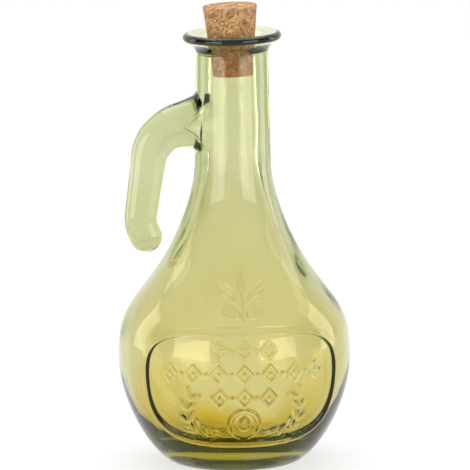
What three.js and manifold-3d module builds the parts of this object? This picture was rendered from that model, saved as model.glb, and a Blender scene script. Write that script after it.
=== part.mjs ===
// A glass olive oil bottle: a round bottle of thick yellow-green glass with a flared lip,
// a solid hook handle, a raised label on its front, and a tapered cork in its mouth.
// Millimetres, +Z up. The origin is the centre of the base, on the surface it stands on.
// The label faces -Y, and the handle is on the -X side.

import * as THREE from 'three';
import { mergeVertices } from 'three/addons/utils/BufferGeometryUtils.js';
import Module from 'manifold-3d';

// Body, from the base up.
const FOOT_INNER_RADIUS = 23;
const FOOT_RADIUS = 28;
const HEEL_REACH = 36.3;
const HEEL_RISE = 25.3;
const PUNT_HEIGHT = 3;
const BELLY_RADIUS = 54.2;
const BELLY_HEIGHT = 50;
const BELLY_TOP_RISE = 17;
const SHOULDER_RADIUS = 41.6;
const SHOULDER_HEIGHT = 83.4;
const SHOULDER_LEAN = 0.67;
const SHOULDER_PULL_DOWN = 15.3;
const SHOULDER_PULL_UP = 23.9;
const NECK_FOOT_RADIUS = 17.65;
const NECK_FOOT_HEIGHT = 142.4;
const NECK_FLARE_HEIGHT = 126.5;
const NECK_TOP_RADIUS = 16.85;
const NECK_TOP_HEIGHT = 189;

// Lip, a rolled edge at the end of a flare.
const LIP_RADIUS = 22.9;
const LIP_HEIGHT = 199.7;
const LIP_EDGE = 2;
const LIP_UNDER_ANGLE = -Math.PI / 4;
const LIP_INNER_ANGLE = (140 * Math.PI) / 180;

// Inside of the glass.
const BORE_RADIUS = 11.4;
const BORE_TOP_HEIGHT = 191;
const BORE_FOOT_HEIGHT = 146;
const WALL = 4.1;
const FLOOR_RADIUS = 24;
const FLOOR_HEIGHT = 8.6;
const FLOOR_DOME = 1.4;

// Hook handle: its centreline runs out from the neck, turns down and ends in a foot turned inwards.
const HANDLE_ROOT = new THREE.Vector2(-14, 160.3);
const HANDLE_ELBOW = new THREE.Vector2(-37.7, 155.8);
const HANDLE_HEEL = new THREE.Vector2(-44.2, 111.4);
const HANDLE_TIP = new THREE.Vector2(-37.6, 98.9);
const HANDLE_ELBOW_TURN = 9;
const HANDLE_HEEL_TURN = 5;
const HANDLE_HALF_WIDTH = 7.2;
const HANDLE_HALF_DEPTH = 6.6;
const HANDLE_SQUARENESS = 2.6;
const HANDLE_ROOT_GROWTH = 5.8;
const HANDLE_ROOT_FADE = 22;
const HANDLE_DEPTH_GROWTH = 3;
const HANDLE_DEPTH_FADE = 8;
const POCKET_TIP = -22.7;
const POCKET_MOUTH = -8;
const POCKET_HEIGHT = 158;
const POCKET_RADIUS = 7.8;

// Raised label on the belly, laid out by the angle round the body, in degrees, and the height.
const FRAME_HALF_ANGLE = 56;
const FRAME_HALF_HEIGHT = 28;
const FRAME_HEIGHT = 43.4;
const FRAME_SQUARENESS = 3.5;
const RELIEF_SINK = 0.3;
const FRAME_BEAD = { halfWidth: 2.4, rise: 1.4 };
const MEDALLION_RADIUS = 7.6;
const MEDALLION_HEIGHT = 26;
const MEDALLION_BEAD = { halfWidth: 1, rise: 1.1 };
const LEAF = { halfLength: 3.4, halfWidth: 1.4, rise: 1.1 };
const BRANCH_CENTRE_ANGLE = 17.5;
const BRANCH_CENTRE_HEIGHT = 33;
const BRANCH_RADIUS = 13;
const BRANCH_START = -1.9;
const BRANCH_END = 0.75;
const BRANCH_LEAVES = 5;
const LEAF_SPREAD = 0.6;
const SPRIG_HEIGHT = 81;
const SPRIG_LEAVES = [
  { angle: -9.5, height: 86, turn: 2.5 },
  { angle: 9.5, height: 86, turn: 0.64 },
  { angle: 0, height: 90.5, turn: Math.PI / 2 },
];
const SPRIG_LEAF = { halfLength: 5.8, halfWidth: 2, rise: 1.2 };
const SPRIG_OLIVES = [-7, 7];
const SPRIG_OLIVE = { halfLength: 4.8, halfWidth: 3.4, rise: 1.5 };

// Cork. It leans a little in the bore.
const CORK_BOTTOM = 182.5;
const CORK_TOP = 215.5;
const CORK_SEAT = 191;
const CORK_TILT = -0.04;
const CORK_BOTTOM_RADIUS = 10.3;
const CORK_TOP_RADIUS = 12.65;
const CORK_EDGE = 0.8;

// Fineness of the round shapes.
const ROUND_SEGMENTS = 48;
const CORK_SEGMENTS = 36;
const HANDLE_STEPS = 28;
const HANDLE_SIDES = 16;

const wasm = await Module();
wasm.setup();

// Turns a geometry into a solid that can be joined and cut.
function solidOf(geometry) {
  const bare = geometry.clone();
  bare.deleteAttribute('normal');
  bare.deleteAttribute('uv');
  const merged = mergeVertices(bare, 1e-4);
  const corners = merged.index.array;
  const kept = [];
  for (let i = 0; i < corners.length; i += 3) {
    const [a, b, c] = corners.subarray(i, i + 3);
    if (a !== b && b !== c && c !== a) {
      kept.push(a, b, c);
    }
  }
  const mesh = new wasm.Mesh({
    numProp: 3,
    vertProperties: merged.attributes.position.array,
    triVerts: new Uint32Array(kept),
  });
  return new wasm.Manifold(mesh);
}

// Turns a solid back into a geometry.
function geometryOf(solid) {
  const mesh = solid.getMesh();
  const geometry = new THREE.BufferGeometry();
  geometry.setAttribute('position', new THREE.BufferAttribute(mesh.vertProperties, 3));
  geometry.setIndex(new THREE.BufferAttribute(mesh.triVerts, 1));
  geometry.computeVertexNormals();
  return geometry;
}

// Turns a profile of radius and height round the Z axis.
function turned(points, segments) {
  return new THREE.LatheGeometry(points, segments).rotateX(Math.PI / 2);
}

// Samples one curve of a profile, leaving out its first point, which the curve before it gives.
function along(curve, divisions) {
  return curve.getPoints(divisions).slice(1);
}

function bezier(...numbers) {
  const [a, b, c, d] = [0, 2, 4, 6].map((i) => new THREE.Vector2(numbers[i], numbers[i + 1]));
  return new THREE.CubicBezierCurve(a, b, c, d);
}

const leanAcross = Math.sin(SHOULDER_LEAN);
const leanUp = Math.cos(SHOULDER_LEAN);

// The outside from the foot to the top of the neck.
function outerSide() {
  const foot = new THREE.Vector2(FOOT_RADIUS, 0);
  const lowerBelly = bezier(
    FOOT_RADIUS, 0,
    HEEL_REACH, 0,
    BELLY_RADIUS, HEEL_RISE,
    BELLY_RADIUS, BELLY_HEIGHT,
  );
  const upperBelly = bezier(
    BELLY_RADIUS, BELLY_HEIGHT,
    BELLY_RADIUS, BELLY_HEIGHT + BELLY_TOP_RISE,
    SHOULDER_RADIUS + SHOULDER_PULL_DOWN * leanAcross, SHOULDER_HEIGHT - SHOULDER_PULL_DOWN * leanUp,
    SHOULDER_RADIUS, SHOULDER_HEIGHT,
  );
  const shoulder = bezier(
    SHOULDER_RADIUS, SHOULDER_HEIGHT,
    SHOULDER_RADIUS - SHOULDER_PULL_UP * leanAcross, SHOULDER_HEIGHT + SHOULDER_PULL_UP * leanUp,
    NECK_FOOT_RADIUS, NECK_FLARE_HEIGHT,
    NECK_FOOT_RADIUS, NECK_FOOT_HEIGHT,
  );
  return [
    foot,
    ...along(lowerBelly, 10),
    ...along(upperBelly, 6),
    ...along(shoulder, 9),
    new THREE.Vector2(NECK_TOP_RADIUS, NECK_TOP_HEIGHT),
  ];
}

// The underside of the flare, the rolled edge, and the funnel down to the bore.
function lip() {
  const centre = new THREE.Vector2(LIP_RADIUS - LIP_EDGE, LIP_HEIGHT);
  const edge = new THREE.EllipseCurve(
    centre.x, centre.y, LIP_EDGE, LIP_EDGE, LIP_UNDER_ANGLE, LIP_INNER_ANGLE,
  );
  const [start, end] = [edge.getPoint(0), edge.getPoint(1)];
  const under = bezier(
    NECK_TOP_RADIUS, NECK_TOP_HEIGHT,
    NECK_TOP_RADIUS, NECK_TOP_HEIGHT + 5,
    start.x - LIP_EDGE, start.y - LIP_EDGE,
    start.x, start.y,
  );
  const funnel = bezier(
    end.x, end.y,
    end.x - 2.6, end.y - 3.1,
    BORE_RADIUS, BORE_TOP_HEIGHT + 5,
    BORE_RADIUS, BORE_TOP_HEIGHT,
  );
  return [...along(under, 5), ...along(edge, 7), ...along(funnel, 6)];
}

// The inside, from the bore down to the axis at the floor.
function innerSide() {
  const shoulderRadius = SHOULDER_RADIUS - WALL * leanUp;
  const shoulderHeight = SHOULDER_HEIGHT - WALL * leanAcross;
  const shoulder = bezier(
    BORE_RADIUS, BORE_FOOT_HEIGHT,
    BORE_RADIUS, NECK_FLARE_HEIGHT,
    shoulderRadius - SHOULDER_PULL_UP * leanAcross, shoulderHeight + SHOULDER_PULL_UP * leanUp,
    shoulderRadius, shoulderHeight,
  );
  const upperBelly = bezier(
    shoulderRadius, shoulderHeight,
    shoulderRadius + SHOULDER_PULL_DOWN * leanAcross, shoulderHeight - SHOULDER_PULL_DOWN * leanUp,
    BELLY_RADIUS - WALL, BELLY_HEIGHT + BELLY_TOP_RISE - WALL / 2,
    BELLY_RADIUS - WALL, BELLY_HEIGHT,
  );
  const lowerBelly = bezier(
    BELLY_RADIUS - WALL, BELLY_HEIGHT,
    BELLY_RADIUS - WALL, HEEL_RISE + WALL / 2,
    HEEL_REACH, FLOOR_HEIGHT,
    FLOOR_RADIUS, FLOOR_HEIGHT,
  );
  const floor = new THREE.QuadraticBezierCurve(
    new THREE.Vector2(FLOOR_RADIUS, FLOOR_HEIGHT),
    new THREE.Vector2(FLOOR_RADIUS / 2, FLOOR_HEIGHT),
    new THREE.Vector2(0, FLOOR_HEIGHT + FLOOR_DOME),
  );
  return [
    new THREE.Vector2(BORE_RADIUS, BORE_FOOT_HEIGHT),
    ...along(shoulder, 8),
    ...along(upperBelly, 6),
    ...along(lowerBelly, 8),
    ...along(floor, 3),
  ];
}

// The hollow under the base, from the axis out to the inner edge of the foot.
function punt() {
  const dome = new THREE.QuadraticBezierCurve(
    new THREE.Vector2(0, PUNT_HEIGHT),
    new THREE.Vector2(FOOT_INNER_RADIUS * 0.7, PUNT_HEIGHT),
    new THREE.Vector2(FOOT_INNER_RADIUS, 0),
  );
  return dome.getPoints(4);
}

// The handle's centreline: two straight runs with a rounded elbow, and a rounded heel before the tip.
function handlePath() {
  const flat = (point) => new THREE.Vector3(point.x, 0, point.y);
  const towards = (from, to, distance) => {
    const way = to.clone().sub(from).setLength(distance);
    return from.clone().add(way);
  };
  const elbowIn = towards(HANDLE_ELBOW, HANDLE_ROOT, HANDLE_ELBOW_TURN);
  const elbowOut = towards(HANDLE_ELBOW, HANDLE_HEEL, HANDLE_ELBOW_TURN);
  const heelIn = towards(HANDLE_HEEL, HANDLE_ELBOW, HANDLE_HEEL_TURN);
  const heelOut = towards(HANDLE_HEEL, HANDLE_TIP, HANDLE_HEEL_TURN);
  const path = new THREE.CurvePath();
  path.add(new THREE.LineCurve3(flat(HANDLE_ROOT), flat(elbowIn)));
  path.add(new THREE.QuadraticBezierCurve3(flat(elbowIn), flat(HANDLE_ELBOW), flat(elbowOut)));
  path.add(new THREE.LineCurve3(flat(elbowOut), flat(heelIn)));
  path.add(new THREE.QuadraticBezierCurve3(flat(heelIn), flat(HANDLE_HEEL), flat(heelOut)));
  path.add(new THREE.LineCurve3(flat(heelOut), flat(HANDLE_TIP)));
  return path;
}

// Rounds a circle's cosine or sine towards a square: 2 keeps the circle, more is squarer.
function squared(value, squareness) {
  return Math.sign(value) * Math.abs(value) ** (2 / squareness);
}

// A closed rod bent along the path. It grows towards the neck and rounds off at the tip.
function handle() {
  const path = handlePath();
  const length = path.getLength();
  const rod = new THREE.CylinderGeometry(1, 1, 1, HANDLE_SIDES, HANDLE_STEPS);
  const position = rod.attributes.position;
  const vertex = new THREE.Vector3();
  for (let i = 0; i < position.count; i += 1) {
    vertex.fromBufferAttribute(position, i);
    const share = 0.5 - vertex.y;
    // Steps crowd together at the tip, where the rod rounds off.
    const run = length * (1 - (1 - share) ** 1.5);
    const around = Math.hypot(vertex.x, vertex.z);
    const centre = path.getPointAt(run / length);
    const ahead = path.getTangentAt(run / length);
    const halfWidth = HANDLE_HALF_WIDTH + HANDLE_ROOT_GROWTH * Math.exp(-run / HANDLE_ROOT_FADE);
    const halfDepth = HANDLE_HALF_DEPTH + HANDLE_DEPTH_GROWTH * Math.exp(-run / HANDLE_DEPTH_FADE);
    const toTip = Math.min(1, (length - run) / HANDLE_HALF_WIDTH);
    const rounding = Math.sqrt(1 - (1 - toTip) ** 2) * around;
    const across = rounding * halfWidth * squared(vertex.x, HANDLE_SQUARENESS);
    const deep = rounding * halfDepth * squared(vertex.z, HANDLE_SQUARENESS);
    position.setXYZ(i, centre.x + across * ahead.z, deep, centre.z - across * ahead.x);
  }
  return rod;
}

// The conical pocket that the hollow of the neck pushes into the root of the handle.
function pocket() {
  const cone = new THREE.ConeGeometry(POCKET_RADIUS, POCKET_MOUTH - POCKET_TIP, 20);
  cone.rotateZ(Math.PI / 2);
  cone.translate((POCKET_TIP + POCKET_MOUTH) / 2, 0, POCKET_HEIGHT);
  return cone;
}

const side = outerSide();

// Radius of the body's outside at a height, and how much it grows per millimetre up.
function sideAt(height) {
  const i = Math.max(1, side.findIndex((point) => point.y >= height));
  const [below, above] = [side[i - 1], side[i]];
  const slope = (above.x - below.x) / (above.y - below.y);
  return { radius: below.x + slope * (height - below.y), slope };
}

// A place on the label: the point, and the directions across, up along the glass and out of it.
function labelPlace(degrees, height) {
  const angle = THREE.MathUtils.degToRad(degrees);
  const { radius, slope } = sideAt(height);
  const point = new THREE.Vector3(radius * Math.sin(angle), -radius * Math.cos(angle), height);
  const across = new THREE.Vector3(Math.cos(angle), Math.sin(angle), 0);
  const out = new THREE.Vector3(Math.sin(angle), -Math.cos(angle), -slope).normalize();
  const up = new THREE.Vector3().crossVectors(out, across);
  return { point, across, up, out };
}

function degreesAcross(millimetres, height) {
  return THREE.MathUtils.radToDeg(millimetres / sideAt(height).radius);
}

// A raised bead that runs round a closed outline, from an oval to a rounded rectangle.
function ring(outline, bead, steps, sides) {
  const torus = new THREE.TorusGeometry(1, 0.5, sides, steps);
  const position = torus.attributes.position;
  for (let i = 0; i < position.count; i += 1) {
    const turn = (2 * Math.PI * (i % (steps + 1))) / steps;
    const roll = (2 * Math.PI * Math.floor(i / (steps + 1))) / sides;
    const grown = bead.halfWidth * Math.cos(roll);
    const across = (outline.halfWidth + grown) * squared(Math.cos(turn), outline.squareness);
    const rise = (outline.halfHeight + grown) * squared(Math.sin(turn), outline.squareness);
    const height = outline.height + rise;
    const degrees = outline.degrees + THREE.MathUtils.radToDeg(across / outline.radius);
    const { point, out } = labelPlace(degrees, height);
    point.addScaledVector(out, bead.rise * Math.sin(roll) - RELIEF_SINK);
    position.setXYZ(i, point.x, point.y, point.z);
  }
  return torus;
}

// A leaf or an olive: half of an egg shape that stands out of the glass.
function boss(degrees, height, turn, size) {
  const egg = new THREE.SphereGeometry(1, 6, 4);
  egg.scale(size.halfWidth, size.halfLength, size.rise);
  egg.rotateZ(turn - Math.PI / 2);
  egg.translate(0, 0, -RELIEF_SINK);
  const { point, across, up, out } = labelPlace(degrees, height);
  const place = new THREE.Matrix4().makeBasis(across, up, out).setPosition(point);
  return egg.applyMatrix4(place);
}

function labelFrame() {
  const outline = {
    degrees: 0,
    height: FRAME_HEIGHT,
    radius: BELLY_RADIUS,
    halfWidth: BELLY_RADIUS * THREE.MathUtils.degToRad(FRAME_HALF_ANGLE),
    halfHeight: FRAME_HALF_HEIGHT,
    squareness: FRAME_SQUARENESS,
  };
  return ring(outline, FRAME_BEAD, 64, 6);
}

function medallion() {
  const outline = {
    degrees: 0,
    height: MEDALLION_HEIGHT,
    radius: sideAt(MEDALLION_HEIGHT).radius,
    halfWidth: MEDALLION_RADIUS,
    halfHeight: MEDALLION_RADIUS,
    squareness: 2,
  };
  return ring(outline, MEDALLION_BEAD, 20, 4);
}

// Two branches that curve up on either side of the medallion, with leaves in pairs.
function branches() {
  const made = [];
  for (const hand of [-1, 1]) {
    for (let i = 0; i < BRANCH_LEAVES; i += 1) {
      const swing = THREE.MathUtils.lerp(BRANCH_START, BRANCH_END, i / (BRANCH_LEAVES - 1));
      for (const spread of [-LEAF_SPREAD, LEAF_SPREAD]) {
        const reach = BRANCH_RADIUS + 2.6 * Math.sign(spread) * -1;
        const height = BRANCH_CENTRE_HEIGHT + reach * Math.sin(swing);
        const millimetres = reach * Math.cos(swing);
        const degrees = BRANCH_CENTRE_ANGLE + degreesAcross(millimetres, height);
        const turn = swing + Math.PI / 2 + spread;
        made.push(boss(hand * degrees, height, hand > 0 ? turn : Math.PI - turn, LEAF));
      }
    }
  }
  return made;
}

// A twig with three leaves and two olives, above the frame.
function sprig() {
  const leaves = SPRIG_LEAVES.map((leaf) => boss(leaf.angle, leaf.height, leaf.turn, SPRIG_LEAF));
  const olives = SPRIG_OLIVES.map((angle) => boss(angle, SPRIG_HEIGHT, Math.PI / 2, SPRIG_OLIVE));
  return [...leaves, ...olives];
}

// The glass, all of one piece.
function bottle() {
  const profile = [...punt(), ...side, ...lip(), ...innerSide()];
  let glass = solidOf(turned(profile, ROUND_SEGMENTS));
  const raised = [handle(), labelFrame(), medallion(), ...branches(), ...sprig()];
  for (const piece of raised) {
    glass = glass.add(solidOf(piece));
  }
  return geometryOf(glass.subtract(solidOf(pocket())));
}

// The cork, a cone with its edges eased, measured from the height where the bore holds it.
function cork() {
  const profile = [
    new THREE.Vector2(0, CORK_BOTTOM),
    new THREE.Vector2(CORK_BOTTOM_RADIUS - CORK_EDGE, CORK_BOTTOM),
    new THREE.Vector2(CORK_BOTTOM_RADIUS, CORK_BOTTOM + CORK_EDGE),
    new THREE.Vector2(CORK_TOP_RADIUS, CORK_TOP - CORK_EDGE),
    new THREE.Vector2(CORK_TOP_RADIUS - CORK_EDGE, CORK_TOP),
    new THREE.Vector2(0, CORK_TOP),
  ];
  return turned(profile, CORK_SEGMENTS).translate(0, 0, -CORK_SEAT);
}

const glassMaterial = new THREE.MeshStandardMaterial({ color: 0xc9c785, roughness: 0.05, metalness: 0 });
const corkMaterial = new THREE.MeshStandardMaterial({ color: 0xcda573, roughness: 0.85, metalness: 0 });

const bottleMesh = new THREE.Mesh(bottle(), glassMaterial);
bottleMesh.name = 'bottle';
const corkMesh = new THREE.Mesh(cork(), corkMaterial);
corkMesh.name = 'cork';
corkMesh.position.z = CORK_SEAT;
corkMesh.rotation.y = CORK_TILT;

const part = new THREE.Group();
part.name = 'olive_oil_bottle';
part.add(bottleMesh, corkMesh);

export default part;
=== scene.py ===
# %% [markdown]
# # A glass oil bottle with a cork
# The bottle is thick yellow-green glass, blown in a mould, with a hook handle fused to its neck and a
# tapered cork pushed into its mouth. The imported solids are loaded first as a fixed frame, so that every
# piece made here sits where the real one does.

# %% Load the frame
import math
import bpy
import numpy as np
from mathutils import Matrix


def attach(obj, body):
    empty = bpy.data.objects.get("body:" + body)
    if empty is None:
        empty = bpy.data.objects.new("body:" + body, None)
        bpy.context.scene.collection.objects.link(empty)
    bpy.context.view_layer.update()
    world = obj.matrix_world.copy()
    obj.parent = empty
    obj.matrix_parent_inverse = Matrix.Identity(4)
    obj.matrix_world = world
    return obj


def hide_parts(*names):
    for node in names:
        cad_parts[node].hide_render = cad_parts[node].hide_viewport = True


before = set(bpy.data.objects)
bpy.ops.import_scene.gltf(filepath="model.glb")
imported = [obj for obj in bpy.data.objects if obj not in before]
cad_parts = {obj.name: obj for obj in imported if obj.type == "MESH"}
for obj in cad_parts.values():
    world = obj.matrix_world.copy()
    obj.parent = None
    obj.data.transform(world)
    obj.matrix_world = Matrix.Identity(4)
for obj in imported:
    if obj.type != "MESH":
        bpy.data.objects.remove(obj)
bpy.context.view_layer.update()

MM = 0.001

# %% [markdown]
# ## Camera
# The photo was taken from far off with a long lens, a little above the bottle and a little to the handle's
# side, so the camera stands 2.5 m away, 10 degrees up and 5 degrees round, with half a degree of roll.

# %% Place the camera
AIM = (0.0007, 0.0, 0.1062)
DISTANCE = 2.5
ELEVATION = math.radians(10)
AZIMUTH = math.radians(-5)
ROLL = math.radians(0.45)
VIEW_WIDTH = 0.219

across = DISTANCE * math.cos(ELEVATION)
bpy.ops.object.camera_add(
    location=(
        AIM[0] + across * math.sin(AZIMUTH),
        AIM[1] - across * math.cos(AZIMUTH),
        AIM[2] + DISTANCE * math.sin(ELEVATION),
    ),
    rotation=(math.pi / 2 - ELEVATION, 0, AZIMUTH),
)
camera = bpy.context.object
camera.rotation_euler.rotate_axis("Z", -ROLL)
camera.data.sensor_width = 36
camera.data.lens = 36 * DISTANCE / VIEW_WIDTH
camera.data.clip_end = 100
bpy.context.scene.camera = camera
print("lens", round(camera.data.lens), "mm")

# %% [markdown]
# ## The profile of the bottle
# A bottle is round, so half of its section says nearly all of its shape. The outside and the inside are
# drawn as one Bezier curve that starts under the base, climbs the belly and the neck, rolls over the lip
# and goes down the bore to the floor inside. The wall is the space between its two sides.

# %% Draw the profile
LEAN = np.array([math.sin(0.67), math.cos(0.67)])
WALL = 4.1
BELLY = np.array([54.2, 50.0])
SHOULDER = np.array([41.6, 83.4])
NECK_FOOT = np.array([17.65, 142.4])
NECK_TOP = np.array([16.8, 192.4])
BORE, BORE_FOOT = 10.2, 11.2
LIP_CENTRE = np.array([20.9, 199.7])
LIP_EDGE = 2.0


def straight(start, end):
    start, end = np.array(start, float), np.array(end, float)
    return [start, start + (end - start) / 3, end - (end - start) / 3, end]


def bowed(start, pull, end):
    start, pull, end = (np.array(point, float) for point in (start, pull, end))
    return [start, start + (pull - start) * 2 / 3, end + (pull - end) * 2 / 3, end]


def cubic(*points):
    return [np.array(point, float) for point in points]


def rim(angle):
    return LIP_CENTRE + LIP_EDGE * np.array([math.cos(angle), math.sin(angle)])


def rim_arc(start, end):
    reach = LIP_EDGE * 4 / 3 * math.tan((end - start) / 4)
    ahead = np.array([-math.sin(start), math.cos(start)]) * reach
    behind = np.array([-math.sin(end), math.cos(end)]) * reach
    return [rim(start), rim(start) + ahead, rim(end) - behind, rim(end)]


LIP_ANGLES = np.radians(np.linspace(-45, 140, 4))
LIP_START, LIP_END = rim(LIP_ANGLES[0]), rim(LIP_ANGLES[-1])
INNER_SHOULDER = SHOULDER - WALL * np.array([LEAN[1], LEAN[0]])
DOWN = np.array([LEAN[0], -LEAN[1]])

outer_lower = cubic((28, 0), (36.3, 0), (54.2, 25.3), BELLY)
outer_upper = cubic(BELLY, (54.2, 67), SHOULDER + 15.3 * DOWN, SHOULDER)
outer_shoulder = cubic(SHOULDER, SHOULDER - 23.9 * DOWN, (17.65, 126.5), NECK_FOOT)
outer_neck = straight(NECK_FOOT, NECK_TOP)
profile = [
    bowed((0, 3), (16.1, 3), (23, 0)),
    straight((23, 0), (28, 0)),
    outer_lower,
    outer_upper,
    outer_shoulder,
    outer_neck,
    cubic(NECK_TOP, (16.8, 195.4), LIP_START - (2.2, 1.6), LIP_START),
    *[rim_arc(start, end) for start, end in zip(LIP_ANGLES, LIP_ANGLES[1:])],
    cubic(LIP_END, LIP_END - (2.6, 3.1), (BORE, 196), (BORE, 191)),
    straight((BORE, 191), (BORE_FOOT, 146)),
    cubic((BORE_FOOT, 146), (BORE_FOOT + 0.3, 126.5), INNER_SHOULDER - 23.9 * DOWN, INNER_SHOULDER),
    cubic(INNER_SHOULDER, INNER_SHOULDER + 15.3 * DOWN, (50.1, 64.95), (50.1, 50)),
    cubic((50.1, 50), (50.1, 27.35), (36.3, 8.6), (24, 8.6)),
    bowed((24, 8.6), (12, 8.6), (0, 10)),
]

bpy.ops.object.select_all(action="DESELECT")
bpy.ops.curve.primitive_bezier_curve_add(location=(0, 0, 0))
bottle = bpy.context.object
bottle.name = "glass_bottle"
curve = bottle.data
curve.resolution_u = 14
spline = curve.splines[0]
spline.bezier_points.add(len(profile) + 1 - len(spline.bezier_points))
befores = [profile[0][0]] + [segment[2] for segment in profile]
places = [segment[0] for segment in profile] + [profile[-1][3]]
afters = [segment[1] for segment in profile] + [profile[-1][3]]
for point, before, place, after in zip(spline.bezier_points, befores, places, afters):
    point.handle_left_type = point.handle_right_type = "FREE"
    point.co = (place[0] * MM, 0, place[1] * MM)
    point.handle_left = (before[0] * MM, 0, before[1] * MM)
    point.handle_right = (after[0] * MM, 0, after[1] * MM)
bpy.ops.object.convert(target="MESH")
bottle = bpy.context.object
print("profile", len(bottle.data.vertices), "points")

# %% [markdown]
# ## Spinning the bottle
# The profile is spun round the upright axis. The first and last copies are merged, and so are the copies
# of the two points on the axis, which leaves one closed skin with the wall inside it.

# %% Spin the profile
TURN_STEPS = 120

bpy.ops.object.mode_set(mode="EDIT")
bpy.ops.mesh.select_all(action="SELECT")
bpy.ops.mesh.spin(
    steps=TURN_STEPS, angle=2 * math.pi, center=(0, 0, 0), axis=(0, 0, 1)
)
bpy.ops.mesh.select_all(action="SELECT")
bpy.ops.mesh.remove_doubles(threshold=0.00001)
bpy.ops.mesh.normals_make_consistent(inside=False)
bpy.ops.object.mode_set(mode="OBJECT")
print("spun skin", len(bottle.data.polygons), "faces")


# %% Measure the skin
def along(segment, count=600):
    t = np.linspace(0, 1, count)[:, None]
    a, b, c, d = segment
    return a * (1 - t) ** 3 + 3 * b * t * (1 - t) ** 2 + 3 * c * t**2 * (1 - t) + d * t**3


OUTLINE = np.vstack([along(s) for s in (outer_lower, outer_upper, outer_shoulder, outer_neck)])


def outer_radius(height):
    return np.interp(height, OUTLINE[:, 1], OUTLINE[:, 0])


def read_points(mesh):
    flat = np.empty(len(mesh.vertices) * 3)
    mesh.vertices.foreach_get("co", flat)
    return flat.reshape(-1, 3) / MM


def write_points(mesh, points):
    mesh.vertices.foreach_set("co", (points * MM).ravel())
    mesh.update()


def front_angle(points):
    return np.arctan2(points[:, 0], -points[:, 1])


def choose_faces(mesh, wanted):
    centres = np.empty(len(mesh.polygons) * 3)
    mesh.polygons.foreach_get("center", centres)
    chosen = wanted(centres.reshape(-1, 3) / MM)
    mesh.vertices.foreach_set("select", np.zeros(len(mesh.vertices), bool))
    mesh.edges.foreach_set("select", np.zeros(len(mesh.edges), bool))
    mesh.polygons.foreach_set("select", chosen)
    return int(chosen.sum())


def subdivide_faces(thing, wanted, cuts):
    count = choose_faces(thing.data, wanted)
    bpy.ops.object.mode_set(mode="EDIT")
    bpy.ops.mesh.select_mode(type="FACE")
    bpy.ops.mesh.subdivide(number_cuts=cuts)
    bpy.ops.object.mode_set(mode="OBJECT")
    return count


# %% [markdown]
# ## Relief of the label
# The mould has the label cut into it, so the glass carries it as raised lines: an oval frame round a field
# that is a little sunk, rows of lozenges and beads, a ringed drop between two olive sprays, and a twig with
# leaves and olives above. Only the faces at the front are made finer, and each of their points is then
# pushed out by the height of the relief there.

# %% Shapes of the relief
FRAME_HALF_WIDTH = math.radians(56) * BELLY[0]
FRAME_HALF_HEIGHT = 28.0
FRAME_MIDDLE = 43.4
FRAME_SQUARENESS = 3.5
RELIEF_EDGE = 0.5


def raised(distance, rise):
    step = np.clip(0.5 - distance / RELIEF_EDGE, 0, 1)
    return rise * step * step * (3 - 2 * step)


def frame_distance(angle, height):
    u = np.abs(angle * BELLY[0]) / FRAME_HALF_WIDTH
    v = np.abs(height - FRAME_MIDDLE) / FRAME_HALF_HEIGHT
    p = FRAME_SQUARENESS
    size = (u**p + v**p) ** (1 / p) + 1e-9
    slope = np.hypot(
        (u / size) ** (p - 1) / FRAME_HALF_WIDTH, (v / size) ** (p - 1) / FRAME_HALF_HEIGHT
    )
    return (size - 1) / (slope + 1e-6)


def turned(u, v, centre, turn):
    along_way = (u - centre[0]) * math.cos(turn) + (v - centre[1]) * math.sin(turn)
    beside = (v - centre[1]) * math.cos(turn) - (u - centre[0]) * math.sin(turn)
    return along_way, beside


def leaf(u, v, centre, turn, half_length, half_width):
    along_leaf, beside = turned(u, v, centre, turn)
    edge = np.abs(beside) - half_width * (1 - (along_leaf / half_length) ** 2)
    return np.maximum(edge, np.abs(along_leaf) - half_length)


def olive(u, v, centre, turn, half_length, half_width):
    along_olive, beside = turned(u, v, centre, turn)
    return (np.hypot(along_olive / half_length, beside / half_width) - 1) * half_width


def lozenge(u, v, centre, half_width, half_height):
    edge = np.abs(u - centre[0]) / half_width + np.abs(v - centre[1]) / half_height - 1
    return edge / math.hypot(1 / half_width, 1 / half_height)


def bead(u, v, centre, radius):
    return np.hypot(u - centre[0], v - centre[1]) - radius


def stem(u, v, points, half_width):
    best = np.full(len(u), 99.0)
    for start, end in zip(points, points[1:]):
        way = np.subtract(end, start)
        t = ((u - start[0]) * way[0] + (v - start[1]) * way[1]) / way.dot(way)
        t = np.clip(t, 0, 1)
        best = np.minimum(best, np.hypot(u - start[0] - t * way[0], v - start[1] - t * way[1]))
    return best - half_width


# %% Rows of lozenges
ROWS = ((61.4, 3, 11.6), (50.2, 7, 12.2), (38.8, 3, 11.6))
ROW_RISE = 0.85
LOZENGE_HALF_WIDTH, LOZENGE_HALF_HEIGHT, LOZENGE_LINE = 3.5, 4.0, 0.65
CORE_HALF_WIDTH, CORE_HALF_HEIGHT = 1.2, 1.4
BEAD_RADIUS = 1.0


def rows_of_lozenges(u, v):
    rise = np.zeros(len(u))
    for height, count, pitch in ROWS:
        for place in range(count):
            middle = ((place - (count - 1) / 2) * pitch, height)
            edge = np.abs(lozenge(u, v, middle, LOZENGE_HALF_WIDTH, LOZENGE_HALF_HEIGHT)) - LOZENGE_LINE
            core = lozenge(u, v, middle, CORE_HALF_WIDTH, CORE_HALF_HEIGHT)
            rise = np.maximum(rise, raised(np.minimum(edge, core), ROW_RISE))
            if place < count - 1:
                between = bead(u, v, (middle[0] + pitch / 2, height), BEAD_RADIUS)
                rise = np.maximum(rise, raised(between, ROW_RISE))
    return rise


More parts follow.
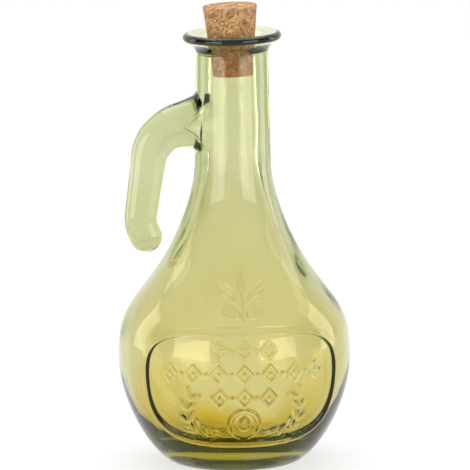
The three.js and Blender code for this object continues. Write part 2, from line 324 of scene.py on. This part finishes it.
# %% Medallion and sprays
MEDALLION = (0.0, 26.0)
RING_RADIUS, INNER_RING_RADIUS = 7.0, 5.2
MEDALLION_RISE, INNER_RING_RISE = 1.0, 0.6
SPRAY_RADIUS = 13.0
SPRAY_MIDDLE = (14.7, 33.0)
SPRAY_STEM_RISE, SPRAY_LEAF_RISE = 0.7, 1.0
LEAF_LEAN, LEAF_OFFSET = 0.6, 2.2


def medallion(u, v):
    ring = np.abs(bead(u, v, MEDALLION, RING_RADIUS)) - 0.6
    inner_ring = np.abs(bead(u, v, MEDALLION, INNER_RING_RADIUS)) - 0.4
    drop = bead(u, v, (MEDALLION[0], MEDALLION[1] - 1.3), 2.3)
    point = leaf(u, v, (MEDALLION[0], MEDALLION[1] + 0.4), math.pi / 2, 4.2, 2.2)
    rise = np.maximum(raised(ring, MEDALLION_RISE), raised(inner_ring, INNER_RING_RISE))
    return np.maximum(rise, raised(np.minimum(drop, point), MEDALLION_RISE))


def spray(u, v, side):
    middle = (side * SPRAY_MIDDLE[0], SPRAY_MIDDLE[1])
    points = [
        (middle[0] + side * SPRAY_RADIUS * math.cos(t), middle[1] + SPRAY_RADIUS * math.sin(t))
        for t in np.linspace(-1.9, 0.6, 20)
    ]
    rise = raised(stem(u, v, points, 0.4), SPRAY_STEM_RISE)
    for turn in np.linspace(-1.66, 0.6, 6):
        for out in (1, -1):
            lean, reach = out * LEAF_LEAN, SPRAY_RADIUS + out * LEAF_OFFSET
            place = (middle[0] + side * reach * math.cos(turn), middle[1] + reach * math.sin(turn))
            way = turn + math.pi / 2 - lean
            facing = way if side > 0 else math.pi - way
            rise = np.maximum(rise, raised(leaf(u, v, place, facing, 3.2, 1.25), SPRAY_LEAF_RISE))
    return rise


# %% Twig
TWIG_STEM = ((0, 74.6), (-0.6, 78), (0.4, 82), (0, 87))
TWIG_STEM_RISE, TWIG_OLIVE_RISE, TWIG_LEAF_RISE = 1.1, 1.4, 1.3
VEIN = 0.25


def twig(u, v):
    rise = raised(stem(u, v, TWIG_STEM, 0.5), TWIG_STEM_RISE)
    for side in (-1, 1):
        fruit = olive(u, v, (side * 5.6, 78.6), side * 0.5, 4.4, 3.3)
        middle, turn = (side * 7.0, 86.8), math.pi / 2 - side * 0.95
        vein = np.abs(turned(u, v, middle, turn)[1])
        blade = leaf(u, v, middle, turn, 6.0, 2.2)
        rise = np.maximum(rise, raised(fruit, TWIG_OLIVE_RISE))
        rise = np.maximum(rise, raised(np.maximum(blade, VEIN - vein), TWIG_LEAF_RISE))
    tip = leaf(u, v, (0, 91.6), math.pi / 2, 5.4, 2.0)
    return np.maximum(rise, raised(np.maximum(tip, VEIN - np.abs(u)), TWIG_LEAF_RISE))


# %% Height of the relief
FRAME_INSET, FRAME_LINE, FRAME_RISE = 1.3, 1.6, 0.7
FIELD_SINK = 0.75


def relief(angle, height):
    u, v = angle * outer_radius(height), height
    edge = frame_distance(angle, height)
    rise = raised(np.abs(edge + FRAME_INSET) - FRAME_LINE, FRAME_RISE)
    for shape in (rows_of_lozenges(u, v), medallion(u, v), spray(u, v, -1), spray(u, v, 1), twig(u, v)):
        rise = np.maximum(rise, shape)
    return rise - raised(edge + FRAME_INSET + FRAME_LINE, FIELD_SINK)


# %% Raise the label
def on_label(centres):
    radius = np.hypot(centres[:, 0], centres[:, 1])
    height = centres[:, 2]
    near = np.abs(front_angle(centres)) < math.radians(61)
    return near & (height > 11.5) & (height < 98) & (radius > outer_radius(height) - 1.5)


count = subdivide_faces(bottle, on_label, 6)
points = read_points(bottle.data)
radius = np.hypot(points[:, 0], points[:, 1])
outside = (points[:, 2] > 1) & (points[:, 2] < 188) & (radius > outer_radius(points[:, 2]) - 1.5)
angle = front_angle(points)
height = points[:, 2]
levels = np.linspace(0, 190, 3801)
tilt = np.interp(height, levels, np.arctan(-np.gradient(outer_radius(levels), levels)))
front = outside & (np.abs(angle) < math.radians(63)) & (height > 10) & (height < 99)
push = np.where(front, relief(angle, height), 0)
new_radius = np.where(outside, outer_radius(height) + push * np.cos(tilt), radius)
points[:, 0] = new_radius * np.sin(angle)
points[:, 1] = -new_radius * np.cos(angle)
points[:, 2] = height + push * np.sin(tilt)
write_points(bottle.data, points)
print("label", count, "faces made finer, highest", round(float(push.max()), 2), "mm")

# %% [markdown]
# ## Inside of the wall
# Blown glass follows the mould outside, but inside it only finds its own level, so the wall is never quite
# even. The inner skin gets a slow waviness of a few tenths of a millimetre.

# %% Wave the inner skin
points = read_points(bottle.data)
radius = np.hypot(points[:, 0], points[:, 1])
height = points[:, 2]
angle = front_angle(points)
inside = (radius < outer_radius(np.clip(height, 1, 188)) - 2) & (height > 8) & (height < 181)
wave = 0.30 * np.sin(2 * angle + height / 15 + 0.6) + 0.22 * np.sin(3 * angle - height / 11 + 2.1)
wave = wave + 0.16 * np.sin(5 * angle + height / 7 + 4.0) + 0.10 * np.sin(8 * angle - height / 5)
fade = np.clip((181 - height) / 30, 0, 1) * np.clip(radius / 20, 0, 1) ** 2
points[inside, :2] *= (1 + (wave * fade / np.maximum(radius, 1)))[inside, None]
write_points(bottle.data, points)
print("inner skin", int(inside.sum()), "points waved")

# %% [markdown]
# ## Handle
# The handle is a thick strip of hot glass stuck to the neck and bent down into a hook that ends free. A
# patch of the neck is cut out, and a sheet is rolled into a tube that starts on the edge of the hole, turns
# out in a fillet and follows the bend to a rounded tip. The tube's first edge then merges with the hole.

# %% Bend of the handle
ROOT, ELBOW, HEEL, TIP = ((-14, 160.3), (-37.4, 156.0), (-43.8, 112.2), (-37.4, 100.0))
ELBOW_REACH, HEEL_REACH = 14, 5
FILLET = 1.6
SQUARENESS = 2.6
TIP_LENGTH = 7.2
HALF_WIDTH, ROOT_WIDENING, WIDENING_RUN = 7.2, 5.8, 22
HALF_DEPTH, ROOT_DEEPENING, DEEPENING_RUN = 6.6, 3, 8


def turn_at(before, corner, after, reach):
    before, corner, after = (np.array(point, float) for point in (before, corner, after))
    back = corner + (before - corner) / np.linalg.norm(before - corner) * reach
    on = corner + (after - corner) / np.linalg.norm(after - corner) * reach
    t = np.linspace(0, 1, 40)[:, None]
    return back * (1 - t) ** 2 + 2 * corner * t * (1 - t) + on * t**2


INWARD = np.subtract(ROOT, ELBOW) / np.linalg.norm(np.subtract(ROOT, ELBOW))
INSIDE = 12.0
bend = np.vstack([
    [ROOT + INSIDE * INWARD],
    turn_at(ROOT, ELBOW, HEEL, ELBOW_REACH),
    turn_at(ELBOW, HEEL, TIP, HEEL_REACH),
    [TIP],
])
runs = np.concatenate([[0], np.cumsum(np.linalg.norm(np.diff(bend, axis=0), axis=1))]) - INSIDE
fine_runs = np.linspace(-INSIDE, runs[-1], 460)
fine = np.column_stack([np.interp(fine_runs, runs, bend[:, axis]) for axis in (0, 1)])
ahead = np.gradient(fine, fine_runs, axis=0)
ahead = ahead / np.linalg.norm(ahead, axis=1)[:, None]
LENGTH = runs[-1]


def handle_point(run, turn, extra):
    run = np.asarray(run, float)
    x, z = (np.interp(run, fine_runs, fine[:, axis]) for axis in (0, 1))
    tx, tz = (np.interp(run, fine_runs, ahead[:, axis]) for axis in (0, 1))
    to_tip = np.clip((LENGTH - run) / TIP_LENGTH, 0, 1)
    shrink = np.sqrt(np.clip(1 - (1 - to_tip) ** 2, 0, 1))
    outward = np.maximum(run, 0)
    half_width = (HALF_WIDTH + ROOT_WIDENING * np.exp(-outward / WIDENING_RUN) + extra) * shrink
    half_depth = (HALF_DEPTH + ROOT_DEEPENING * np.exp(-outward / DEEPENING_RUN) + extra) * shrink
    c, s = np.cos(turn), np.sin(turn)
    a = half_width * np.sign(s) * np.abs(s) ** (2 / SQUARENESS)
    b = half_depth * np.sign(c) * np.abs(c) ** (2 / SQUARENESS)
    return np.column_stack([x + a * tz, b, z - a * tx])


def run_outside(turn, clear, extra):
    run = np.full(len(turn), 4.0)
    for _ in range(12):
        place = handle_point(run, turn, extra)
        reach = outer_radius(place[:, 2]) + clear
        goal = -np.sqrt(np.clip(reach**2 - place[:, 1] ** 2, 1, None))
        run = run + (place[:, 0] - goal)
    return run


print("handle", round(float(LENGTH), 1), "mm long")

# %% Cut the hole in the neck
HOLE_MIDDLE = 159.0
HOLE_HALF_HEIGHT = 19.0
HOLE_HALF_ANGLE = math.radians(47)


def side_angle(points):
    return np.arctan2(points[:, 1], -points[:, 0])


def in_hole(centres):
    near = (np.abs(side_angle(centres)) < HOLE_HALF_ANGLE) & (centres[:, 0] < 0)
    near = near & (np.abs(centres[:, 2] - HOLE_MIDDLE) < HOLE_HALF_HEIGHT)
    return near & (np.hypot(centres[:, 0], centres[:, 1]) > 16.2)


choose_faces(bottle.data, in_hole)
bpy.ops.object.mode_set(mode="EDIT")
bpy.ops.mesh.select_mode(type="FACE")
bpy.ops.mesh.delete(type="FACE")
bpy.ops.mesh.select_mode(type="EDGE")
bpy.ops.mesh.select_all(action="DESELECT")
bpy.ops.mesh.select_non_manifold(
    extend=False, use_wire=False, use_multi_face=False, use_non_contiguous=False
)
bpy.ops.object.mode_set(mode="OBJECT")
picked = np.empty(len(bottle.data.vertices), bool)
bottle.data.vertices.foreach_get("select", picked)
edge_points = read_points(bottle.data)[picked]
middle = (edge_points[:, 2].min() + edge_points[:, 2].max()) / 2
half = (edge_points[:, 2].max() - edge_points[:, 2].min()) / 2
wide = np.abs(side_angle(edge_points)).max()
turns = np.arctan2((edge_points[:, 2] - middle) / half, side_angle(edge_points) / wide)
order = np.argsort(turns)
edge_points, turns = edge_points[order], turns[order]
print("hole", len(turns), "points on its edge")

# %% Roll the handle
rows = [edge_points]
start = handle_point(run_outside(turns, 0, FILLET), turns, FILLET)
for share in (0.4, 0.75):
    flat_angle = side_angle(edge_points) * (1 - share) + side_angle(start) * share
    flat_height = edge_points[:, 2] * (1 - share) + start[:, 2] * share
    flat_radius = outer_radius(flat_height)
    rows.append(np.column_stack([
        -flat_radius * np.cos(flat_angle), flat_radius * np.sin(flat_angle), flat_height
    ]))
REACH = 10.0
clears = np.concatenate([
    FILLET * (1 - np.cos(np.linspace(0, math.pi / 2, 8))), np.linspace(3.6, REACH, 7)
])
for clear in clears:
    low = max(FILLET - clear, 0)
    extra = FILLET - math.sqrt(FILLET**2 - low**2)
    level = min(max((clear / REACH - 0.25) / 0.75, 0), 1)
    level = level * level * (3 - 2 * level)
    run = run_outside(turns, clear, extra)
    plane = run_outside(np.array([0.0]), clear, -6.5)[0]
    rows.append(handle_point(run * (1 - level) + plane * level, turns, extra))
for run in np.linspace(plane, LENGTH - TIP_LENGTH, 34)[1:]:
    rows.append(handle_point(np.full(len(turns), run), turns, 0))
for swing in np.linspace(0, math.pi / 2, 10)[1:]:
    run = LENGTH - TIP_LENGTH + TIP_LENGTH * math.sin(swing)
    rows.append(handle_point(np.full(len(turns), run), turns, 0))

ring = np.vstack([np.vstack([row, row[:1]]) for row in rows])
bpy.ops.object.select_all(action="DESELECT")
bpy.ops.mesh.primitive_grid_add(x_subdivisions=len(turns), y_subdivisions=len(rows) - 1, size=0.1)
handle = bpy.context.object
write_points(handle.data, ring)
handle.location = (0, 0, 0)
bottle.select_set(True)
bpy.context.view_layer.objects.active = bottle
bpy.ops.object.join()
bpy.ops.object.mode_set(mode="EDIT")
bpy.ops.mesh.select_mode(type="VERT")
bpy.ops.mesh.select_all(action="SELECT")
bpy.ops.mesh.remove_doubles(threshold=0.000004)
bpy.ops.mesh.normals_make_consistent(inside=False)
bpy.ops.mesh.select_all(action="DESELECT")
bpy.ops.mesh.select_non_manifold()
bpy.ops.object.mode_set(mode="OBJECT")
picked = np.empty(len(bottle.data.vertices), bool)
bottle.data.vertices.foreach_get("select", picked)
print("handle", len(rows), "rings, open points left", int(picked.sum()))

# %% [markdown]
# ## Pocket in the neck
# Where the handle was pressed on, the soft neck was drawn out into it and left a small cone-shaped pocket
# in the bore. A patch of the bore is made finer and pushed out to a point.

# %% Push out the pocket
POCKET_HEIGHT = 158.0
POCKET_HALF_WIDTH, POCKET_HALF_HEIGHT = 9.5, 14.0
POCKET_DEPTH = 12.4


def from_pocket(points):
    return np.hypot(points[:, 1] / POCKET_HALF_WIDTH, (points[:, 2] - POCKET_HEIGHT) / POCKET_HALF_HEIGHT)


def in_bore(points):
    return (points[:, 0] < 0) & (np.hypot(points[:, 0], points[:, 1]) < BORE_FOOT + 0.8)


def in_pocket(centres):
    return in_bore(centres) & (from_pocket(centres) < 1.1)


subdivide_faces(bottle, in_pocket, 4)
points = read_points(bottle.data)
depth = np.where(in_bore(points), POCKET_DEPTH * np.clip(1 - from_pocket(points), 0, 1) ** 2, 0)
points[:, 0] -= depth
write_points(bottle.data, points)
print("pocket", round(float(depth.max()), 1), "mm deep")

# %% [markdown]
# ## Lip
# The lip was turned over by hand while the glass was soft, so it isn't quite level: it dips a little on the
# handle's side.

# %% Tip the lip
LIP_TIP = math.radians(1.2)
TIP_FROM, TIP_OVER = 186, 10

points = read_points(bottle.data)
share = np.clip((points[:, 2] - TIP_FROM) / TIP_OVER, 0, 1)
points[:, 2] += points[:, 0] * math.tan(LIP_TIP) * share * share * (3 - 2 * share)
write_points(bottle.data, points)
bpy.ops.object.shade_smooth()
triangles = sum(len(face.vertices) - 2 for face in bottle.data.polygons)
print("bottle", triangles, "triangles, top at", round(float(points[:, 2].max()), 1), "mm")

# %% [markdown]
# ## Cork
# The stopper is cut from pressed cork granules: a plain taper with slightly eased edges and a skin full of
# small pits. It starts as a cone with its ends cut off, gets finer faces, and then each pit is pressed in.

# %% Turn the cork
CORK_BOTTOM, CORK_TOP, CORK_SEAT = 181.9, 214.2, 191.0
CORK_LOW, CORK_HIGH = 9.2, 12.6
CORK_LEAN = -0.04

bpy.ops.object.select_all(action="DESELECT")
bpy.ops.mesh.primitive_cone_add(
    vertices=160,
    radius1=CORK_LOW * MM,
    radius2=CORK_HIGH * MM,
    depth=(CORK_TOP - CORK_BOTTOM) * MM,
    end_fill_type="NGON",
    location=(0, 0, 0),
)
cork = bpy.context.object
cork.name = "cork_stopper"
bpy.ops.object.mode_set(mode="EDIT")
bpy.ops.mesh.select_mode(type="FACE")
bpy.ops.mesh.select_all(action="DESELECT")
bpy.ops.object.mode_set(mode="OBJECT")
for face in cork.data.polygons:
    face.select = len(face.vertices) > 4
bpy.ops.object.mode_set(mode="EDIT")
bpy.ops.mesh.inset(thickness=0.3 * MM, depth=0)
for _ in range(5):
    bpy.ops.mesh.inset(thickness=0.45 * MM, depth=0)
for _ in range(9):
    bpy.ops.mesh.inset(thickness=0.95 * MM, depth=0)
bpy.ops.object.mode_set(mode="OBJECT")
points = read_points(cork.data)
for face in cork.data.polygons:
    face.select = False
for edge in cork.data.edges:
    low, high = (points[i] for i in edge.vertices)
    edge.select = bool(abs(low[2] - high[2]) > 5)
bpy.ops.object.mode_set(mode="EDIT")
bpy.ops.mesh.select_mode(type="EDGE")
bpy.ops.mesh.subdivide(number_cuts=70)
bpy.ops.object.mode_set(mode="OBJECT")
print("cork", len(cork.data.polygons), "faces")

# %% Press in the pits
PITS = 210
PITS_ON_ENDS = 0.28
EDGE_EASE, EASE_WIDTH = 0.22, 0.7
HALF = (CORK_TOP - CORK_BOTTOM) / 2

generator = np.random.default_rng(7)
points = read_points(cork.data)
radius = np.hypot(points[:, 0], points[:, 1])
limit = CORK_LOW + (CORK_HIGH - CORK_LOW) * (points[:, 2] + HALF) / (2 * HALF)
over = np.clip(1 - np.maximum(limit - radius, HALF - np.abs(points[:, 2])) / EASE_WIDTH, 0, 1)
ease = EDGE_EASE * over**2
normals = np.empty(len(points) * 3)
cork.data.vertices.foreach_get("normal", normals)
normals = normals.reshape(-1, 3)
dent = ease.copy()
for _ in range(PITS):
    turn, level = generator.uniform(0, 2 * math.pi), generator.uniform(-HALF, HALF)
    on_end = generator.uniform() < PITS_ON_ENDS
    taper = CORK_LOW + (CORK_HIGH - CORK_LOW) * (level + HALF) / (2 * HALF)
    reach = math.sqrt(generator.uniform()) * 12 if on_end else taper
    level = math.copysign(HALF, generator.uniform(-0.4, 1)) if on_end else level
    centre = np.array([reach * math.cos(turn), reach * math.sin(turn), level])
    long_way = generator.normal(size=3)
    long_way /= np.linalg.norm(long_way)
    away = points - centre
    along_pit = away @ long_way
    beside = np.sqrt(np.clip((away**2).sum(1) - along_pit**2, 0, None))
    size = generator.uniform(0.35, 0.85)
    length = size * generator.uniform(1.2, 2.8)
    shape = np.clip(1 - (along_pit / length) ** 2 - (beside / size) ** 2, 0, 1)
    dent = np.maximum(dent, ease + generator.uniform(0.25, 0.55) * shape)
points -= normals * dent[:, None]
points[:, 2] += HALF + CORK_BOTTOM - CORK_SEAT
tipped = points.copy()
tipped[:, 0] = points[:, 0] * math.cos(CORK_LEAN) + points[:, 2] * math.sin(CORK_LEAN)
tipped[:, 2] = points[:, 2] * math.cos(CORK_LEAN) - points[:, 0] * math.sin(CORK_LEAN) + CORK_SEAT
write_points(cork.data, tipped)
bpy.ops.object.shade_smooth_by_angle(angle=math.radians(60))
print("cork top at", round(float(tipped[:, 2].max()), 2), "mm")

# %% [markdown]
# ## Glass
# The glass is coloured through: light that runs a long way in it, as in the base, comes out stronger in
# colour. The photo also goes from green at the neck to amber at the base, so a tint that follows the height,
# with a little drift, colours what passes through the skin and what it reflects. The skin is smooth with a
# faint waviness.


# %% Make the glass
TINTS = (
    (0.21, (0.88, 0.67, 0.085)),
    (0.32, (0.915, 0.84, 0.58)),
    (0.58, (0.92, 0.87, 0.65)),
    (0.76, (0.985, 0.955, 0.85)),
)


def new_material(name):
    made = bpy.data.materials.new(name)
    made.use_nodes = True
    nodes, links = made.node_tree.nodes, made.node_tree.links
    return made, nodes, links, nodes["Principled BSDF"], nodes["Material Output"]


def noise(nodes, links, place, scale, detail=2.0, roughness=0.5):
    made = nodes.new("ShaderNodeTexNoise")
    made.inputs["Scale"].default_value = scale
    made.inputs["Detail"].default_value = detail
    made.inputs["Roughness"].default_value = roughness
    links.new(place, made.inputs["Vector"])
    return made


def ramp(nodes, links, value, stops):
    made = nodes.new("ShaderNodeValToRGB")
    bar = made.color_ramp
    while len(bar.elements) < len(stops):
        bar.elements.new(0.5)
    for element, (at, color) in zip(bar.elements, stops):
        element.position = at
        element.color = (*color, 1)
    links.new(value, made.inputs["Fac"])
    return made


glass, nodes, links, shader, output = new_material("Yellow-green glass")
where = nodes.new("ShaderNodeTexCoord").outputs["Object"]
drift = noise(nodes, links, where, 22, 2)
parts = nodes.new("ShaderNodeSeparateXYZ")
links.new(where, parts.inputs["Vector"])
climb = nodes.new("ShaderNodeMath")
climb.operation = "MULTIPLY_ADD"
climb.inputs[1].default_value = 0.08
links.new(drift.outputs["Fac"], climb.inputs[0])
links.new(parts.outputs["Z"], climb.inputs[2])
level = nodes.new("ShaderNodeMapRange")
level.inputs["From Max"].default_value = 0.24
links.new(climb.outputs["Value"], level.inputs["Value"])
tint = ramp(nodes, links, level.outputs["Result"], TINTS)
links.new(tint.outputs["Color"], shader.inputs["Base Color"])
links.new(tint.outputs["Color"], shader.inputs["Specular Tint"])
shader.inputs["Transmission Weight"].default_value = 1
shader.inputs["IOR"].default_value = 1.5
shader.inputs["Roughness"].default_value = 0.012
waves = noise(nodes, links, where, 70, 2)
bump = nodes.new("ShaderNodeBump")
bump.inputs["Strength"].default_value = 0.12
bump.inputs["Distance"].default_value = 0.0012
links.new(waves.outputs["Fac"], bump.inputs["Height"])
links.new(bump.outputs["Normal"], shader.inputs["Normal"])
body = nodes.new("ShaderNodeVolumeAbsorption")
body.inputs["Color"].default_value = (0.46, 0.54, 0.03, 1)
body.inputs["Density"].default_value = 72
links.new(body.outputs["Volume"], output.inputs["Volume"])
bottle.data.materials.clear()
bottle.data.materials.append(glass)
print("glass", len(nodes), "nodes")

# %% [markdown]
# ## Cork material
# Pressed cork is made of crumbs of bark glued together, each a little lighter or darker, with dark bark
# flecks in the gaps between them. Cells give each crumb its tone, and the edges of a second set of cells,
# broken up by noise, give the flecks. Below the mouth, inside the glass, the cork is painted redder with
# brighter red: painted light that makes up for the light the glass keeps from it.

# %% Make the cork material
bark, nodes, links, shader, output = new_material("Pressed cork")
where = nodes.new("ShaderNodeTexCoord").outputs["Object"]
warp = noise(nodes, links, where, 260, 3)
mix = nodes.new("ShaderNodeMix")
mix.data_type = "VECTOR"
mix.inputs["Factor"].default_value = 0.004
links.new(where, mix.inputs["A"])
links.new(warp.outputs["Color"], mix.inputs["B"])
bent = mix.outputs["Result"]
crumbs = nodes.new("ShaderNodeTexVoronoi")
crumbs.inputs["Scale"].default_value = 560
links.new(bent, crumbs.inputs["Vector"])
tone = ramp(nodes, links, crumbs.outputs["Color"], (
    (0.0, (0.24, 0.115, 0.040)), (0.4, (0.42, 0.225, 0.085)), (1.0, (0.64, 0.39, 0.175))
))
gaps = nodes.new("ShaderNodeTexVoronoi")
gaps.feature = "DISTANCE_TO_EDGE"
gaps.inputs["Scale"].default_value = 560
links.new(bent, gaps.inputs["Vector"])
patches = noise(nodes, links, where, 1000, 3, 0.6)
speck = nodes.new("ShaderNodeMath")
speck.operation = "MULTIPLY_ADD"
speck.inputs[1].default_value = 1.6
links.new(gaps.outputs["Distance"], speck.inputs[0])
links.new(patches.outputs["Fac"], speck.inputs[2])
mask = ramp(nodes, links, speck.outputs["Value"], ((0.49, (1, 1, 1)), (0.55, (0, 0, 0))))
dark = nodes.new("ShaderNodeMix")
dark.data_type = "RGBA"
dark.inputs["B"].default_value = (0.075, 0.028, 0.007, 1)
links.new(mask.outputs["Color"], dark.inputs["Factor"])
links.new(tone.outputs["Color"], dark.inputs["A"])
# Painted light: below the mouth the cork colour is multiplied redder, with red brighter, for the light the
# glass keeps from it.
parts = nodes.new("ShaderNodeSeparateXYZ")
links.new(where, parts.inputs["Vector"])
depth = nodes.new("ShaderNodeMapRange")
depth.inputs["From Min"].default_value = 0.188
depth.inputs["From Max"].default_value = 0.196
links.new(parts.outputs["Z"], depth.inputs["Value"])
in_neck_painted_light = ramp(nodes, links, depth.outputs["Result"], ((0.0, (1.4, 0.8, 0.2)), (1.0, (1.0, 1.0, 1.0))))
cork_with_painted_light = nodes.new("ShaderNodeMix")
cork_with_painted_light.data_type = "RGBA"
cork_with_painted_light.blend_type = "MULTIPLY"
cork_with_painted_light.inputs["Factor"].default_value = 1
links.new(dark.outputs["Result"], cork_with_painted_light.inputs["A"])
links.new(in_neck_painted_light.outputs["Color"], cork_with_painted_light.inputs["B"])
links.new(cork_with_painted_light.outputs["Result"], shader.inputs["Base Color"])
shader.inputs["Roughness"].default_value = 0.82
grain = noise(nodes, links, where, 1500, 3)
bump = nodes.new("ShaderNodeBump")
bump.inputs["Strength"].default_value = 0.35
bump.inputs["Distance"].default_value = 0.0003
links.new(grain.outputs["Fac"], bump.inputs["Height"])
links.new(bump.outputs["Normal"], shader.inputs["Normal"])
cork.data.materials.clear()
cork.data.materials.append(bark)
print("cork material", len(nodes), "nodes")

# %% Put the pieces in the frame
for piece, node, slot in ((bottle, "bottle", "glass"), (cork, "cork", "cork")):
    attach(piece, "root")
    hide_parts(node)

# %% [markdown]
# ## Studio
# The photo looks lit by two big soft boxes in front, left and right, with a bright white background that
# shines through the glass. Here two narrow strips and a light above join them, the paper floor glows a
# little so that light also comes up through the base, and the walls at the sides are dark.

# %% Floor
bpy.ops.object.select_all(action="DESELECT")
bpy.ops.mesh.primitive_plane_add(size=40, location=(0, 0, 0))
floor = bpy.context.object
floor.name = "floor"
paper, nodes, links, shader, output = new_material("White paper")
shader.inputs["Base Color"].default_value = (0.22, 0.22, 0.22, 1)
shader.inputs["Roughness"].default_value = 0.9
shader.inputs["Emission Color"].default_value = (1, 1, 1, 1)
shader.inputs["Emission Strength"].default_value = 0.68
floor.data.materials.append(paper)

# %% Lights
SOFTBOX_DISTANCE = 0.95
TOP_SIZE, TOP_RADIANCE = 1.8, 2.2


def softbox(name, azimuth, width, low, high, radiance, distance=SOFTBOX_DISTANCE):
    turn = AZIMUTH + math.radians(azimuth)
    place = (distance * math.sin(turn), -distance * math.cos(turn), (low + high) / 2)
    bpy.ops.object.light_add(type="AREA", location=place, rotation=(math.pi / 2, 0, turn))
    light = bpy.context.object
    light.name = name
    light.data.shape = "RECTANGLE"
    light.data.size = width
    light.data.size_y = high - low
    light.data.energy = radiance * math.pi * width * (high - low)


softbox("left_softbox", -44, 0.66, 0.0, 0.44, 3.0)
softbox("right_softbox", 44, 0.66, 0.0, 0.44, 3.0)
softbox("left_strip", -106, 0.28, 0.0, 0.6, 2.2, 0.8)
softbox("right_strip", 106, 0.28, 0.0, 0.6, 2.2, 0.8)
bpy.ops.object.light_add(type="AREA", location=(0, 0.5, 1.6), rotation=(0, 0, 0))
top_light = bpy.context.object
top_light.name = "top_light"
top_light.data.shape = "SQUARE"
top_light.data.size = TOP_SIZE
top_light.data.energy = TOP_RADIANCE * math.pi * TOP_SIZE**2

# %% Background
WALL_GREYS = ((0.0, 0.6), (0.25, 0.6), (0.42, 0.12), (0.64, 0.12), (0.8, 1.0))

world = bpy.data.worlds.new("White studio")
bpy.context.scene.world = world
world.use_nodes = True
nodes, links = world.node_tree.nodes, world.node_tree.links
parts = nodes.new("ShaderNodeSeparateXYZ")
links.new(nodes.new("ShaderNodeTexCoord").outputs["Generated"], parts.inputs["Vector"])
spread = nodes.new("ShaderNodeMapRange")
spread.inputs["From Min"].default_value = -1
links.new(parts.outputs["Y"], spread.inputs["Value"])
walls = ramp(nodes, links, spread.outputs["Result"], [(at, (grey,) * 3) for at, grey in WALL_GREYS])
rise = nodes.new("ShaderNodeMapRange")
rise.inputs["From Min"].default_value = 0.35
rise.inputs["From Max"].default_value = 0.65
rise.inputs["To Max"].default_value = 0.95
links.new(parts.outputs["Z"], rise.inputs["Value"])
ceiling = nodes.new("ShaderNodeMix")
ceiling.data_type = "RGBA"
ceiling.blend_type = "LIGHTEN"
ceiling.inputs["Factor"].default_value = 1
links.new(walls.outputs["Color"], ceiling.inputs["A"])
links.new(rise.outputs["Result"], ceiling.inputs["B"])
links.new(ceiling.outputs["Result"], nodes["Background"].inputs["Color"])
nodes["Background"].inputs["Strength"].default_value = 1.0
bpy.context.scene.view_settings.view_transform = "Standard"
bpy.context.scene.cycles.max_bounces = 32
bpy.context.scene.cycles.glossy_bounces = 24
bpy.context.scene.cycles.transmission_bounces = 24
